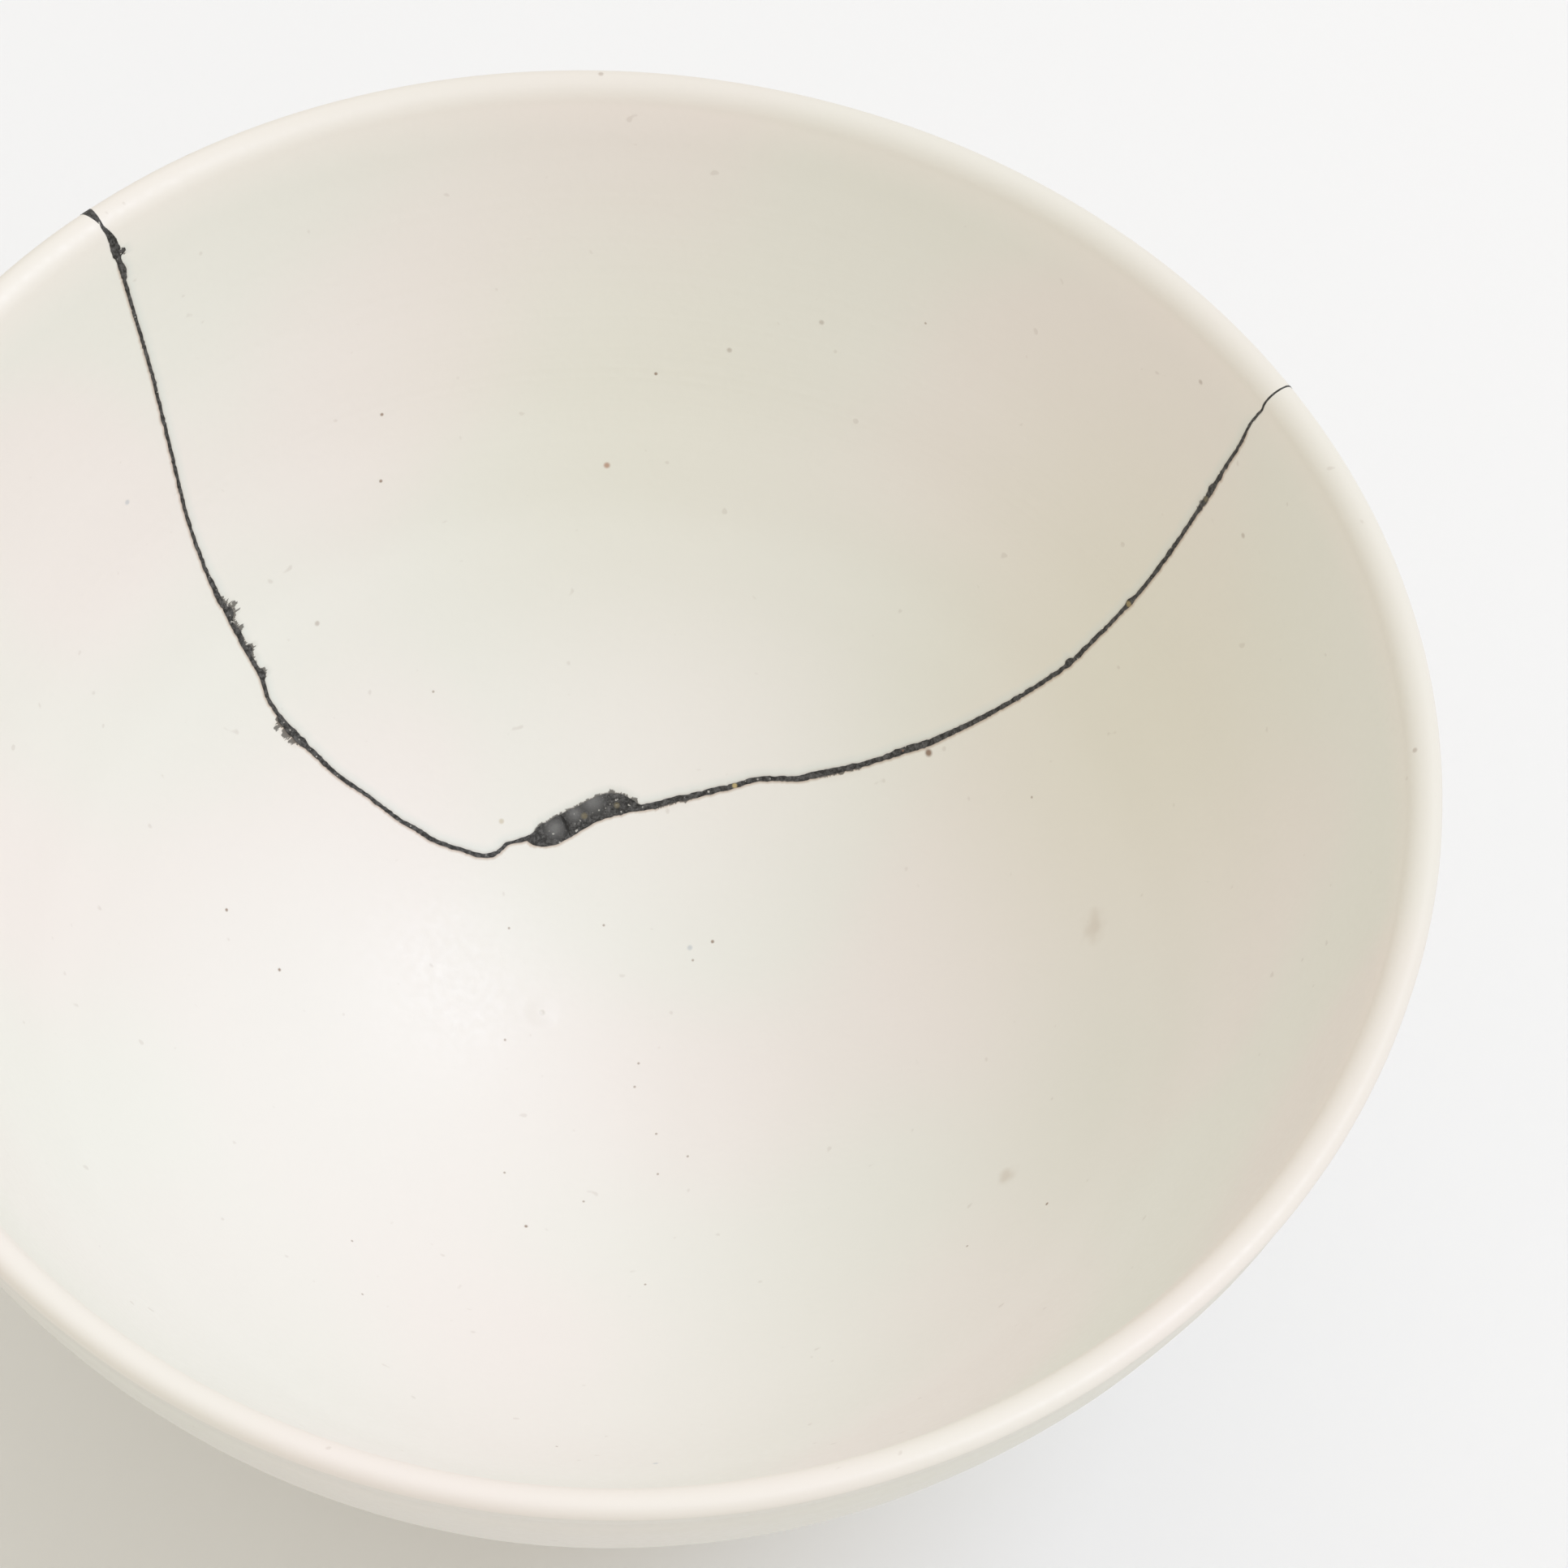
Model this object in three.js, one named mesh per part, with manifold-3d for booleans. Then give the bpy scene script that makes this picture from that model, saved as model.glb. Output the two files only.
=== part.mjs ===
// A deep white thrown bowl, broken once from rim to rim and mended with black lacquer.
// Millimetres, +Z up. The origin is the middle of the foot, on the surface that the bowl stands on.
// +X is the right-hand side and -Y is the near side; angles run from +X towards +Y.

import * as THREE from "three";
import { mergeVertices } from "three/addons/utils/BufferGeometryUtils.js";
import Module from "manifold-3d";

const wasm = await Module();
wasm.setup();

// The pot as thrown.
const HEIGHT = 80;
const RIM_RADIUS = 75;
const FLOOR_HEIGHT = 10;
const INSIDE_RADIUS = 71.4;
const INSIDE_POWER = 0.75;
const WALL_TOP_RADIUS = 70.2;
const LIP_ROUNDING = 1.7;
const NECK_RADIUS = 73.75;
const NECK_HEIGHT = 75.4;
const LIP_START = -30;
const LIP_END = 180;
const RIM_WALL = 3.6;
const BASE_WALL = 7.5;

// The foot ring, turned from the thick base.
const FOOT_TOP_RADIUS = 27.2;
const FOOT_TOP_HEIGHT = 9;
const FOOT_RADIUS = 26;
const FOOT_WIDTH = 3.6;
const FOOT_BEVEL = 0.6;
const FOOT_FILLET = 1.5;
const RECESS_RADIUS = 21.4;
const RECESS_HEIGHT = 5;
const RECESS_FILLET = 2;

// The rim is a little out of round: an oval and a weaker three-lobed wave, which fade out towards the foot.
const OVAL = 0.86;
const OVAL_ANGLE = 128;
const LOBES = 0.38;
const LOBES_ANGLE = 23;

// The break, followed along the inside of the bowl from the left of the rim to the right. Each pair is the
// angle round the bowl in degrees, and the distance from the middle of the floor measured along the wall.
const BREAK_COURSE = [
  [131.4, 114], [131.4, 106], [131.2, 98], [131.5, 89], [132.5, 81.5], [133.9, 73], [134.6, 65],
  [134.6, 57], [135.1, 52], [133.9, 47.4], [131, 41.8], [127.7, 37], [123.1, 32.9], [118, 30.5],
  [114.5, 29.7], [110.7, 30.3], [103.5, 30.3], [95, 31.9], [88.6, 32.7], [82.9, 33.1], [74.3, 35.4],
  [67.4, 38], [62, 39.5], [54.6, 43.6], [47.6, 49.8], [41.8, 58.8], [38.7, 66.4], [37.2, 75],
  [36.3, 83], [35.7, 93], [35.2, 100], [34.9, 107], [34.9, 114],
];
const BREAK_STEP = 2.6;
const BREAK_GUIDES = 400;
const RIBBON_SIDES = 4;

// The lacquer that fills it, and the flakes lost from its inner edges, which it fills too.
const LACQUER_WIDTH = 0.7;
const FIT_GAP = 0.3;
const CUT_BEYOND_WALL = 2;
const FLAKES = [
  { angle: 131.6, run: 108, reach: 3.5, bodySide: 0.6, shardSide: 0.3 },
  { angle: 131.2, run: 103, reach: 4, bodySide: 0.1, shardSide: 0.9 },
  { angle: 97, run: 31.4, reach: 6, bodySide: 0.9, shardSide: 0.9 },
];

// How finely the pot is cut into facets, and where round its profile the outer wall leaves the foot.
const TURNS = 72;
const INSIDE_STEPS = 13;
const OUTER_FIRST_STEP = 5;
const LIP_STEPS = 7;
const FILLET_STEPS = 3;
const MERGE_DISTANCE = 1e-4;

const degrees = THREE.MathUtils.degToRad;

function insideHeight(radius) {
  const closeness = 1 - (radius / INSIDE_RADIUS) ** 2;
  return HEIGHT - (HEIGHT - FLOOR_HEIGHT) * closeness ** INSIDE_POWER;
}

// The inside of the bowl as a curve of radius and height, from the middle of the floor to under the lip.
class InsideWall extends THREE.Curve {
  getPoint(t) {
    const radius = t * WALL_TOP_RADIUS;
    return new THREE.Vector2(radius, insideHeight(radius));
  }
}

const insideWall = new InsideWall();
const insideLength = insideWall.getLength();

function wallThickness(height) {
  const depth = (HEIGHT - height) / (HEIGHT - FLOOR_HEIGHT);
  return RIM_WALL + (BASE_WALL - RIM_WALL) * depth ** 3;
}

// A point of the inside, the direction from there into the clay, and the wall's thickness. Past the top of
// the wall the line goes straight up, so that a cut along it clears the lip.
function wallAt(run) {
  const t = Math.min(run / insideLength, 1);
  const point = insideWall.getPointAt(t);
  const along = insideWall.getTangentAt(t);
  const into = new THREE.Vector2(along.y, -along.x);
  if (run > insideLength) {
    point.y += run - insideLength;
    into.set(1, 0);
  }
  return { point, into, thickness: wallThickness(Math.min(point.y, HEIGHT)) };
}

function rimWave(angle) {
  const oval = OVAL * Math.cos(2 * (angle - degrees(OVAL_ANGLE)));
  const lobes = LOBES * Math.cos(3 * (angle - degrees(LOBES_ANGLE)));
  return (oval + lobes) / RIM_RADIUS;
}

// Moves a point of the true round bowl to where the slightly uneven one has it.
function outOfRound(position) {
  const share = (position.z / HEIGHT) ** 2;
  const stretch = 1 + share * rimWave(Math.atan2(position.y, position.x));
  position.x *= stretch;
  position.y *= stretch;
  return position;
}

// The points of an arc about a centre, between two angles in degrees.
function arcPoints(centreX, centreY, radius, from, to, steps) {
  return Array.from({ length: steps + 1 }, (unused, step) => {
    const turn = degrees(from + ((to - from) * step) / steps);
    return new THREE.Vector2(centreX + radius * Math.cos(turn), centreY + radius * Math.sin(turn));
  });
}

// The profile, from the middle of the underside out over the foot and the lip to the middle of the floor.
function bowlOutline() {
  const outerWall = [];
  for (let step = OUTER_FIRST_STEP; step <= INSIDE_STEPS; step += 1) {
    const { point, into, thickness } = wallAt((insideLength * step) / INSIDE_STEPS);
    outerWall.push(point.addScaledVector(into, thickness));
  }
  const filletX = RECESS_RADIUS - RECESS_FILLET;
  const filletY = RECESS_HEIGHT - RECESS_FILLET;
  const footFilletX = FOOT_TOP_RADIUS + FOOT_FILLET;
  const footFilletY = FOOT_TOP_HEIGHT - FOOT_FILLET;
  const lipX = RIM_RADIUS - LIP_ROUNDING;
  const lipY = HEIGHT - LIP_ROUNDING;
  return [
    new THREE.Vector2(0, RECESS_HEIGHT),
    ...arcPoints(filletX, filletY, RECESS_FILLET, 90, 0, FILLET_STEPS),
    new THREE.Vector2(FOOT_RADIUS - FOOT_WIDTH - FOOT_BEVEL, FOOT_BEVEL),
    new THREE.Vector2(FOOT_RADIUS - FOOT_WIDTH, 0),
    new THREE.Vector2(FOOT_RADIUS, 0),
    new THREE.Vector2(FOOT_RADIUS + FOOT_BEVEL, FOOT_BEVEL),
    ...arcPoints(footFilletX, footFilletY, FOOT_FILLET, 180, 115, FILLET_STEPS),
    ...outerWall,
    new THREE.Vector2(NECK_RADIUS, NECK_HEIGHT),
    ...arcPoints(lipX, lipY, LIP_ROUNDING, LIP_START, LIP_END, LIP_STEPS),
    ...insideWall.getSpacedPoints(INSIDE_STEPS).reverse(),
  ];
}

function wholeBowl() {
  const geometry = new THREE.LatheGeometry(bowlOutline(), TURNS);
  geometry.rotateX(Math.PI / 2);
  const places = geometry.attributes.position;
  const position = new THREE.Vector3();
  for (let index = 0; index < places.count; index += 1) {
    outOfRound(position.fromBufferAttribute(places, index));
    places.setXYZ(index, position.x, position.y, position.z);
  }
  return geometry;
}

function wallPlace(angle, run) {
  const { point } = wallAt(run);
  const around = degrees(angle);
  return outOfRound(new THREE.Vector3(point.x * Math.cos(around), point.x * Math.sin(around), point.y));
}

// How far a lost flake widens the break at a place, on the side of the body or of the shard.
function flakeWidth(place, side) {
  let width = 0;
  for (const flake of FLAKES) {
    const distance = place.distanceTo(wallPlace(flake.angle, flake.run)) / flake.reach;
    width += flake[side] * Math.max(0, 1 - distance ** 2);
  }
  return width;
}

// The break as a solid ribbon that stands through the wall, at right angles to it all the way. On the
// inside it spreads where flakes are lost, and on the outside it keeps its own width.
function breakRibbon(extra) {
  const places = BREAK_COURSE.map(([angle, run]) => new THREE.Vector2(angle, run));
  const course = new THREE.SplineCurve(places);
  const guide = [];
  for (let step = 0; step <= BREAK_GUIDES; step += 1) {
    const { x: angle, y: run } = course.getPoint(step / BREAK_GUIDES);
    guide.push({ angle, run, place: wallPlace(angle, run) });
  }
  const stations = [guide[0]];
  let walked = 0;
  for (let index = 1; index < guide.length; index += 1) {
    walked += guide[index].place.distanceTo(guide[index - 1].place);
    if (walked >= BREAK_STEP || index === guide.length - 1) {
      stations.push(guide[index]);
      walked = 0;
    }
  }
  const corners = [];
  stations.forEach(({ angle, run, place }, index) => {
    const before = stations[Math.max(index - 1, 0)].place;
    const after = stations[Math.min(index + 1, stations.length - 1)].place;
    const { into, thickness } = wallAt(run);
    const around = degrees(angle);
    const clay = new THREE.Vector3(into.x * Math.cos(around), into.x * Math.sin(around), into.y);
    const along = after.clone().sub(before).normalize();
    const towardsShard = along.clone().cross(clay).normalize();
    const inner = place.clone().addScaledVector(clay, -CUT_BEYOND_WALL);
    const outer = place.clone().addScaledVector(clay, thickness + CUT_BEYOND_WALL);
    const half = LACQUER_WIDTH / 2 + extra;
    const bodyHalf = half + flakeWidth(place, "bodySide");
    const shardHalf = half + flakeWidth(place, "shardSide");
    corners.push(
      inner.clone().addScaledVector(towardsShard, -bodyHalf),
      inner.clone().addScaledVector(towardsShard, shardHalf),
      outer.clone().addScaledVector(towardsShard, half),
      outer.clone().addScaledVector(towardsShard, -half),
    );
  });
  const faces = [0, 1, 2, 0, 2, 3];
  for (let index = 0; index < stations.length - 1; index += 1) {
    for (let side = 0; side < RIBBON_SIDES; side += 1) {
      const here = index * RIBBON_SIDES + side;
      const beside = index * RIBBON_SIDES + ((side + 1) % RIBBON_SIDES);
      const next = here + RIBBON_SIDES;
      faces.push(here, next, beside, beside, next, beside + RIBBON_SIDES);
    }
  }
  const last = (stations.length - 1) * RIBBON_SIDES;
  faces.push(last, last + 2, last + 1, last, last + 3, last + 2);
  const geometry = new THREE.BufferGeometry().setFromPoints(corners);
  geometry.setIndex(faces);
  return geometry;
}

// A closed geometry as a solid that can be cut, with shared corners merged and flat faces dropped.
function solidOf(geometry) {
  geometry.deleteAttribute("normal");
  geometry.deleteAttribute("uv");
  const merged = mergeVertices(geometry, MERGE_DISTANCE);
  const corners = [...merged.index.array];
  const triangles = [];
  for (let at = 0; at < corners.length; at += 3) {
    const [a, b, c] = corners.slice(at, at + 3);
    if (a !== b && b !== c && c !== a) {
      triangles.push(a, b, c);
    }
  }
  const vertProperties = new Float32Array(merged.attributes.position.array);
  const triVerts = new Uint32Array(triangles);
  return new wasm.Manifold(new wasm.Mesh({ numProp: 3, vertProperties, triVerts }));
}

// The geometry of each separate piece of a cut solid, the largest piece first.
function piecesOf(solid) {
  const pieces = solid.decompose().sort((first, second) => second.volume() - first.volume());
  return pieces.map((piece) => {
    const { vertProperties, triVerts } = piece.getMesh();
    const geometry = new THREE.BufferGeometry();
    geometry.setAttribute("position", new THREE.BufferAttribute(vertProperties, 3));
    geometry.setIndex(new THREE.BufferAttribute(triVerts, 1));
    geometry.computeVertexNormals();
    return geometry;
  });
}

function named(name, geometry, material) {
  const mesh = new THREE.Mesh(geometry, material);
  mesh.name = name;
  return mesh;
}

const glaze = () => new THREE.MeshStandardMaterial({ color: 0xe9e4d9, roughness: 0.45, metalness: 0 });
const lacquer = () => new THREE.MeshStandardMaterial({ color: 0x2b2a27, roughness: 0.4, metalness: 0 });

const pot = solidOf(wholeBowl());
const [bodyGeometry, shardGeometry] = piecesOf(pot.subtract(solidOf(breakRibbon(FIT_GAP))));
const [seamGeometry] = piecesOf(pot.intersect(solidOf(breakRibbon(0))));

const bowl = new THREE.Group();
bowl.add(named("bowl_body", bodyGeometry, glaze()));
bowl.add(named("rim_shard", shardGeometry, glaze()));
bowl.add(named("lacquer_seam", seamGeometry, lacquer()));

export default bowl;
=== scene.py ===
# A deep white thrown bowl, broken once from rim to rim and mended with black lacquer.
# Metres, +Z up, standing on the floor at the origin. -Y is the near side and +X the right-hand side.

import math

import bmesh
import bpy
import numpy as np
from mathutils import Matrix, Vector, kdtree, noise


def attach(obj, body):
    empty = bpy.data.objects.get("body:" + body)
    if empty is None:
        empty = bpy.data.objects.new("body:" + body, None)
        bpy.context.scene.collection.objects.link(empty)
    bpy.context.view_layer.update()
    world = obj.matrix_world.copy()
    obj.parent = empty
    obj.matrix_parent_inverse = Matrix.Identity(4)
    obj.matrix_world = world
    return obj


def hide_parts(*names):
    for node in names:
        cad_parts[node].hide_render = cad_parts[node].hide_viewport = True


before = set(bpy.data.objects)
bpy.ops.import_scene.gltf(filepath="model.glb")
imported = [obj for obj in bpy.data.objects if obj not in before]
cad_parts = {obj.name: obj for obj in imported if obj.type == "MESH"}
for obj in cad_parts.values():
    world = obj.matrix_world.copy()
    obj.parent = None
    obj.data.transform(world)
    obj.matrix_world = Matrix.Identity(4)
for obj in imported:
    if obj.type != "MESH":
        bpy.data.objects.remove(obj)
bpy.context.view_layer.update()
scene = bpy.context.scene
MM = 0.001


# The camera looks down into the bowl through a long lens, a little rolled, and crops its left side.
# It is set by the middle of the rim: how far the middle of the picture lies to its right and below it,
# measured across the line of sight, and how far away the camera stands.
LENS = 260
SENSOR = 36
LOOKING_DOWN = math.radians(59.4)
ROLL = math.radians(2)
RIM_DISTANCE = 1013.5 * MM
RIGHT_OF_RIM = 15.86 * MM
BELOW_RIM = 2.17 * MM

rim_middle = Vector((0, 0, 80 * MM))
turn = Matrix.Rotation(math.pi / 2 - LOOKING_DOWN, 4, "X") @ Matrix.Rotation(ROLL, 4, "Z")
lens = bpy.data.cameras.new("camera")
lens.lens = LENS
lens.sensor_width = SENSOR
camera = bpy.data.objects.new("camera", lens)
camera.matrix_world = Matrix.Translation(rim_middle) @ turn
camera.matrix_world @= Matrix.Translation((RIGHT_OF_RIM, -BELOW_RIM, RIM_DISTANCE))
scene.collection.objects.link(camera)
scene.camera = camera


# The pot is thrown on a wheel from one lump of pale stoneware, and its foot ring is turned from the thick
# base. Its profile is one line, from the middle of the underside out over the foot and the lip, and down
# the inside to the middle of the floor.
HEIGHT = 80 * MM
RIM_RADIUS = 75 * MM
FLOOR_HEIGHT = 10 * MM
INSIDE_RADIUS = 71.4 * MM
INSIDE_POWER = 0.75
WALL_TOP_RADIUS = 70.2 * MM
NECK = (73.75 * MM, 75.4 * MM)
RIM_WALL = 3.6 * MM
BASE_WALL = 7.5 * MM
OUTER_FROM = 0.385
FOOT_TOP_RADIUS = 27.2 * MM
FOOT_TOP_HEIGHT = 9 * MM
FOOT_RADIUS = 26 * MM
FOOT_WIDTH = 3.6 * MM
FOOT_BEVEL = 0.6 * MM
FOOT_FILLET = 1.5 * MM
RECESS_RADIUS = 21.4 * MM
RECESS_HEIGHT = 5 * MM
RECESS_FILLET = 2 * MM

OVAL = 0.86 * MM
OVAL_ANGLE = math.radians(128)
LOBES = 0.38 * MM
LOBES_ANGLE = math.radians(23)


def arc_points(centre, radius, start, end, steps=12):
    turns = np.radians(np.linspace(start, end, steps))
    return np.column_stack((centre[0] + radius * np.cos(turns), centre[1] + radius * np.sin(turns)))


# The inside flares softly towards the lip, which turns over in a small round. Each leg of it is a length
# and the slopes in degrees between which it turns.
LIP_LEGS = ((4.5 * MM, 73.5, 64), (2.6 * MM, 64, 0))
LIP_ROLL = 112
LIP_STEPS = 24


def lip_curve(start):
    """From the top of the wall over the lip, ending where its outer side turns under."""
    points = [np.array(start)]
    for length, first, last in LIP_LEGS:
        for slope in np.radians(np.linspace(first, last, LIP_STEPS)):
            points.append(points[-1] + length / LIP_STEPS * np.array((math.cos(slope), math.sin(slope))))
    flare = np.array(points)
    flare[:, 1] = start[1] + (flare[:, 1] - start[1]) * (HEIGHT - start[1]) / (flare[-1, 1] - start[1])
    top_radius = flare[-1, 0]
    rounding = RIM_RADIUS - top_radius
    roll = arc_points((top_radius, HEIGHT - rounding), rounding, 90, 90 - LIP_ROLL, LIP_STEPS)
    return np.concatenate((flare[1:], roll[1:]))


def lengths_along(points):
    return np.concatenate(([0], np.cumsum(np.linalg.norm(np.diff(points, axis=0), axis=1))))


INSIDE_SAMPLES = 1500
OUTSIDE_SAMPLES = 400
WALL_POWER = 3

inside_radii = WALL_TOP_RADIUS * np.linspace(0, 1, INSIDE_SAMPLES)
inside_heights = HEIGHT - (HEIGHT - FLOOR_HEIGHT) * (1 - (inside_radii / INSIDE_RADIUS) ** 2) ** INSIDE_POWER
inside = np.column_stack((inside_radii, inside_heights))
inside_runs = lengths_along(inside)
INSIDE_RUN = inside_runs[-1]


def wall_at(run):
    """Places at lengths along the inside from its middle, the way into the clay there, and its thickness.

    Past the top of the wall the places go straight up.
    """
    run = np.asarray(run, float)
    point = np.column_stack([np.interp(run, inside_runs, inside[:, axis]) for axis in (0, 1)])
    along = np.column_stack([np.interp(run, inside_runs, np.gradient(inside[:, axis])) for axis in (0, 1)])
    along /= np.linalg.norm(along, axis=1, keepdims=True)
    into = np.column_stack((along[:, 1], -along[:, 0]))
    above = run > INSIDE_RUN
    point[above, 1] += run[above] - INSIDE_RUN
    into[above] = (1, 0)
    depth = (HEIGHT - np.minimum(point[:, 1], HEIGHT)) / (HEIGHT - FLOOR_HEIGHT)
    return point, into, RIM_WALL + (BASE_WALL - RIM_WALL) * depth ** WALL_POWER


outer_runs = np.linspace(OUTER_FROM * INSIDE_RUN, INSIDE_RUN, OUTSIDE_SAMPLES)
outer_point, outer_into, outer_wall = wall_at(outer_runs)
outside = np.concatenate((
    [(0, RECESS_HEIGHT)],
    arc_points((RECESS_RADIUS - RECESS_FILLET, RECESS_HEIGHT - RECESS_FILLET), RECESS_FILLET, 90, 0),
    [(FOOT_RADIUS - FOOT_WIDTH - FOOT_BEVEL, FOOT_BEVEL * 2)],
    arc_points((FOOT_RADIUS - FOOT_WIDTH, FOOT_BEVEL), FOOT_BEVEL, 200, 270),
    arc_points((FOOT_RADIUS, FOOT_BEVEL), FOOT_BEVEL, 270, 350),
    arc_points((FOOT_TOP_RADIUS + FOOT_FILLET, FOOT_TOP_HEIGHT - FOOT_FILLET), FOOT_FILLET, 180, 115),
    outer_point + outer_into * outer_wall[:, None],
    [NECK],
    lip_curve(inside[-1])[::-1],
))
profile = np.concatenate((outside, inside[::-1]))
profile_runs = lengths_along(profile)
OUTSIDE_RUN = lengths_along(outside)[-1]
PROFILE_RUN = profile_runs[-1]

# The fingers leave broad soft rings on the inside, each a run, a width and a height in millimetres. The
# whole pot is wavy too, apart from its top and its foot, where the waves fade out.
FINGER_RINGS = (
    (9.5, 2.5, 0.05), (36, 5, 0.05), (46, 6, -0.06), (57, 3.5, 0.07), (61.5, 3, -0.07),
    (67.5, 3.5, 0.06), (73, 4, -0.05), (80, 3.5, 0.03), (86, 4, -0.03), (97, 3, 0.03),
)
WAVES = 0.05 * MM
WAVE_LENGTH = 9 * MM
FADE = 1.2 * MM


def ring_relief(run):
    relief = np.zeros_like(run)
    for middle, width, height in FINGER_RINGS:
        relief += height * MM * np.exp(-((run / MM - middle) / width) ** 2)
    return relief


def out_of_round(angle, height):
    oval = OVAL * np.cos(2 * (angle - OVAL_ANGLE))
    lobes = LOBES * np.cos(3 * (angle - LOBES_ANGLE))
    return 1 + (height / HEIGHT) ** 2 * (oval + lobes) / RIM_RADIUS


def turned(angle, point):
    """Points of the profile, turned to their angles round the wheel."""
    stretch = out_of_round(angle, point[:, 1])
    radius = point[:, 0] * stretch
    return np.column_stack((radius * np.cos(angle), radius * np.sin(angle), point[:, 1]))


profile_slopes = np.gradient(profile, profile_runs, axis=0)
profile_normals = np.column_stack((profile_slopes[:, 1], -profile_slopes[:, 0]))
profile_normals /= np.linalg.norm(profile_normals, axis=1, keepdims=True)


def pot_surface(angle, run, skin=0.0):
    """The pot's surface at angles and at lengths along the whole profile, raised by a skin if asked."""
    point = np.column_stack([np.interp(run, profile_runs, profile[:, axis]) for axis in (0, 1)])
    normal = np.column_stack([np.interp(run, profile_runs, profile_normals[:, axis]) for axis in (0, 1)])
    from_floor = PROFILE_RUN - run
    on_inside = from_floor < INSIDE_RUN
    faded = np.clip(np.minimum(HEIGHT - point[:, 1], point[:, 1]) / FADE, 0, 1)
    raised = skin * faded + np.where(on_inside, ring_relief(from_floor), 0)
    surface = turned(angle, point)
    waves = np.array([noise.noise(Vector(spot / WAVE_LENGTH)) for spot in surface])
    return turned(angle, point + normal * (raised + waves * WAVES * faded)[:, None])


# The course of the break, from the left of the rim across the floor to the right: the angle round the bowl
# in degrees, the run, which is the length along the inside from the middle of the floor, and the width of
# the mend, both in millimetres. The way across the break is taken over several steps of it, so that its
# kinks don't turn it.
COURSE = (
    (131.2, 114, 0.3), (131.2, 107.2, 0.3), (131.25, 106.4, 0.3), (131.1, 105.8, 0.8), (131, 105, 1.05),
    (131, 104, 1.1), (130.95, 103.5, 1.2), (131.05, 103, 0.6), (131.05, 101.8, 0.6), (131.1, 100.5, 0.4),
    (131.2, 97, 0.34), (131.3, 93.9, 0.34), (131.6, 88.6, 0.34), (132.5, 81.5, 0.34), (133.9, 72.9, 0.34),
    (134.6, 66.1, 0.38), (134.5, 63.4, 0.45), (134.6, 59.8, 0.4), (134.6, 56, 0.42), (135.2, 53.7, 0.38),
    (135, 51.4, 0.42), (134.6, 49.6, 0.52), (133.9, 47.4, 0.5), (132.3, 43.5, 0.4), (130.2, 40.5, 0.36),
    (127.7, 37, 0.36), (125.6, 35, 0.44), (123.1, 32.9, 0.42), (119.1, 31, 0.36), (116.8, 30.1, 0.44),
    (114.5, 29.7, 0.42), (112.7, 29.9, 0.38), (110.7, 30.3, 0.32), (108.4, 30.25, 0.34), (107.2, 30.3, 0.5),
    (105.9, 30.1, 1.2), (104.1, 30.2, 2.05), (102, 30.4, 2.3), (99.9, 30.8, 2.4), (96.3, 31.6, 2.2),
    (93.4, 32.3, 2.15), (90.8, 32.6, 2.05), (88.6, 32.7, 1.55), (87, 32.7, 1.05), (85.7, 32.6, 0.62),
    (82.9, 33.1, 0.6), (80.2, 33.8, 0.56), (77.2, 34.5, 0.54), (74.3, 35.4, 0.54), (70.7, 36.6, 0.5),
    (67.4, 38, 0.46), (62, 39.5, 0.52), (59.8, 40.6, 0.64), (57.6, 41.8, 0.58), (54.6, 43.6, 0.5),
    (51.9, 45.7, 0.5), (49.5, 48, 0.7), (47.6, 49.8, 0.62), (45.2, 53, 0.5), (43.4, 55.8, 0.45),
    (41.8, 58.8, 0.42), (40.1, 62.6, 0.4), (38.7, 66.4, 0.45), (38, 70.1, 0.4), (37.4, 73.5, 0.36),
    (37, 76.1, 0.4), (36.6, 78.8, 0.36), (36.3, 83, 0.42), (36.1, 86.8, 0.36), (35.9, 90.1, 0.4),
    (35.7, 93.2, 0.45), (35.5, 96.7, 0.34), (35.2, 100, 0.3), (35.1, 103.1, 0.25), (34.8, 105.1, 0.22),
    (34.9, 106.4, 0.2), (34.9, 114, 0.2),
)
COURSE_STEP = 0.25 * MM
COURSE_REACH = 7


def smooth_course(places, steps=40):
    """A Catmull-Rom curve through the places."""
    ends = np.vstack((places[0], places, places[-1]))
    share = np.linspace(0, 1, steps, endpoint=False)[:, None]
    parts = []
    for before, here, after, later in zip(ends, ends[1:], ends[2:], ends[3:]):
        bend = 2 * before - 5 * here + 4 * after - later
        twist = -before + 3 * here - 3 * after + later
        parts.append(here + 0.5 * share * (after - before + share * (bend + share * twist)))
    return np.vstack((*parts, places[-1:]))


course = smooth_course(np.array(COURSE, float)) * (math.radians(1), MM, MM)
course_line = turned(course[:, 0], wall_at(course[:, 1])[0])
course_lengths = lengths_along(course_line)
stations = np.arange(0, course_lengths[-1], COURSE_STEP)
course = np.column_stack([np.interp(stations, course_lengths, column) for column in course.T])
course_point, course_into, course_wall = wall_at(course[:, 1])
course_line = turned(course[:, 0], course_point)
clay = np.column_stack((
    course_into[:, 0] * np.cos(course[:, 0]),
    course_into[:, 0] * np.sin(course[:, 0]),
    course_into[:, 1],
))
numbers = np.arange(len(course_line))
ahead = np.minimum(numbers + COURSE_REACH, numbers[-1])
behind = np.maximum(numbers - COURSE_REACH, 0)
to_shard = np.cross(course_line[ahead] - course_line[behind], clay)
to_shard /= np.linalg.norm(to_shard, axis=1, keepdims=True)

course_tree = kdtree.KDTree(len(course_line))
for index, point in enumerate(course_line):
    course_tree.insert(point, index)
course_tree.balance()


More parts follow.
